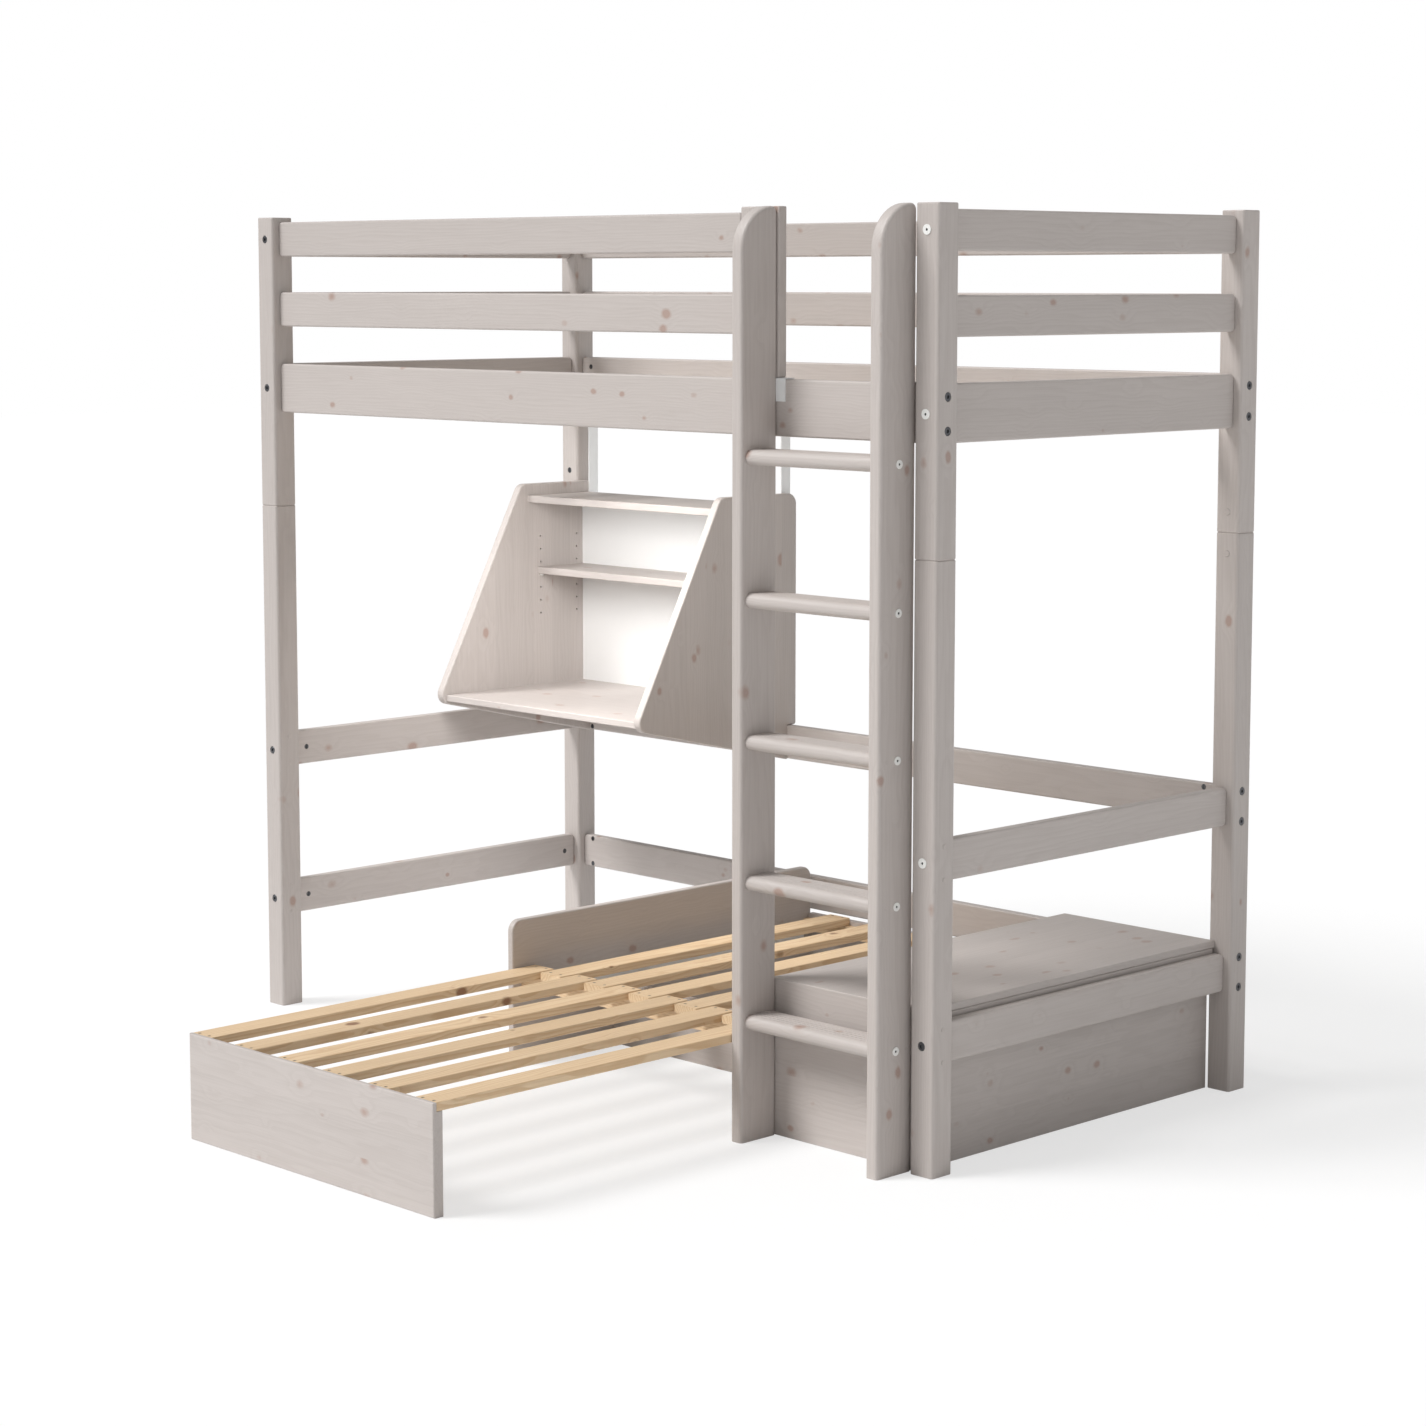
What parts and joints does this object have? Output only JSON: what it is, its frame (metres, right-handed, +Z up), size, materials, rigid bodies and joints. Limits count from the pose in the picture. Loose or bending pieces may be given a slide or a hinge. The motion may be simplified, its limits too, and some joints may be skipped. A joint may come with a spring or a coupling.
{
  "type": "loft bed",
  "caption": "High bed with guard rails and ladder, a desk with shelves and a low pull-out slatted seat with a storage box underneath.",
  "frame": {"origin": "centre of the bounding box's footprint on the floor, with the pull-out seat drawn out as in the picture", "axes": "+X along the long front to the ladder end, +Y from the front to the back, +Z up"},
  "size_m": [2.1016, 1.8336, 1.845],
  "materials": {
    "glazed_pine": "satin warm grey glaze",
    "natural_pine": "satin clear",
    "white_steel": "white powder coat",
    "dark_steel": "dark zinc",
    "screw_steel": "zinc",
    "white_plastic": "satin",
    "white_panel": "smooth white lacquer"
  },
  "bodies": {
    "frame": {"bed_ledgers": "natural_pine", "bed_rail_back": "glazed_pine", "bed_rail_front": "glazed_pine", "bed_rail_left": "glazed_pine", "bed_rail_right": "glazed_pine", "bed_slats": "natural_pine", "box_back_panel": "glazed_pine", "box_deck": "glazed_pine", "box_edge_strip": "glazed_pine", "box_front_panel": "glazed_pine", "box_left_panel": "glazed_pine", "box_right_panel": "glazed_pine", "cross_nuts": "dark_steel", "desk_back_panel": "white_panel", "desk_shelf_middle": "glazed_pine", "desk_shelf_pins": "white_plastic", "desk_shelf_top": "glazed_pine", "desk_side_left": "glazed_pine", "desk_side_right": "glazed_pine", "desk_straps": "white_steel", "desk_top": "glazed_pine", "frame_bolts": "dark_steel", "guard_end_batten": "glazed_pine", "guard_rails_back": "glazed_pine", "guard_rails_front": "glazed_pine", "guard_rails_left": "glazed_pine", "guard_rails_right": "glazed_pine", "hole_plugs": "glazed_pine", "ladder_dowels": "glazed_pine", "ladder_hooks": "white_steel", "ladder_rungs": "glazed_pine", "ladder_screws": "screw_steel", "ladder_stile_left": "glazed_pine", "ladder_stile_right": "glazed_pine", "lower_rails_back": "glazed_pine", "lower_rails_left": "glazed_pine", "lower_rails_right": "glazed_pine", "post_back_left_lower": "glazed_pine", "post_back_left_upper": "glazed_pine", "post_back_right_lower": "glazed_pine", "post_back_right_upper": "glazed_pine", "post_front_left_lower": "glazed_pine", "post_front_left_upper": "glazed_pine", "post_front_right_lower": "glazed_pine", "post_front_right_upper": "glazed_pine", "post_joint_rods": "dark_steel", "ring_caps": "white_plastic", "sofa_back_panel": "glazed_pine", "sofa_battens": "natural_pine", "sofa_cross_panel": "glazed_pine", "sofa_fixed_slats": "natural_pine", "sofa_side_panel": "glazed_pine", "sofa_tracks": "white_steel", "wood_dowels": "natural_pine", "wood_screws": "screw_steel"},
    "pullout": {"pullout_batten": "natural_pine", "pullout_front_board": "glazed_pine", "pullout_glides": "white_plastic", "pullout_screws": "screw_steel", "pullout_slats": "natural_pine"}
  },
  "joints": [
    {"name": "pullout_slide", "type": "slide", "parent": "frame", "child": "pullout", "axis": [0, 1, 0], "range_m": [0, 0.844]}
  ]
}
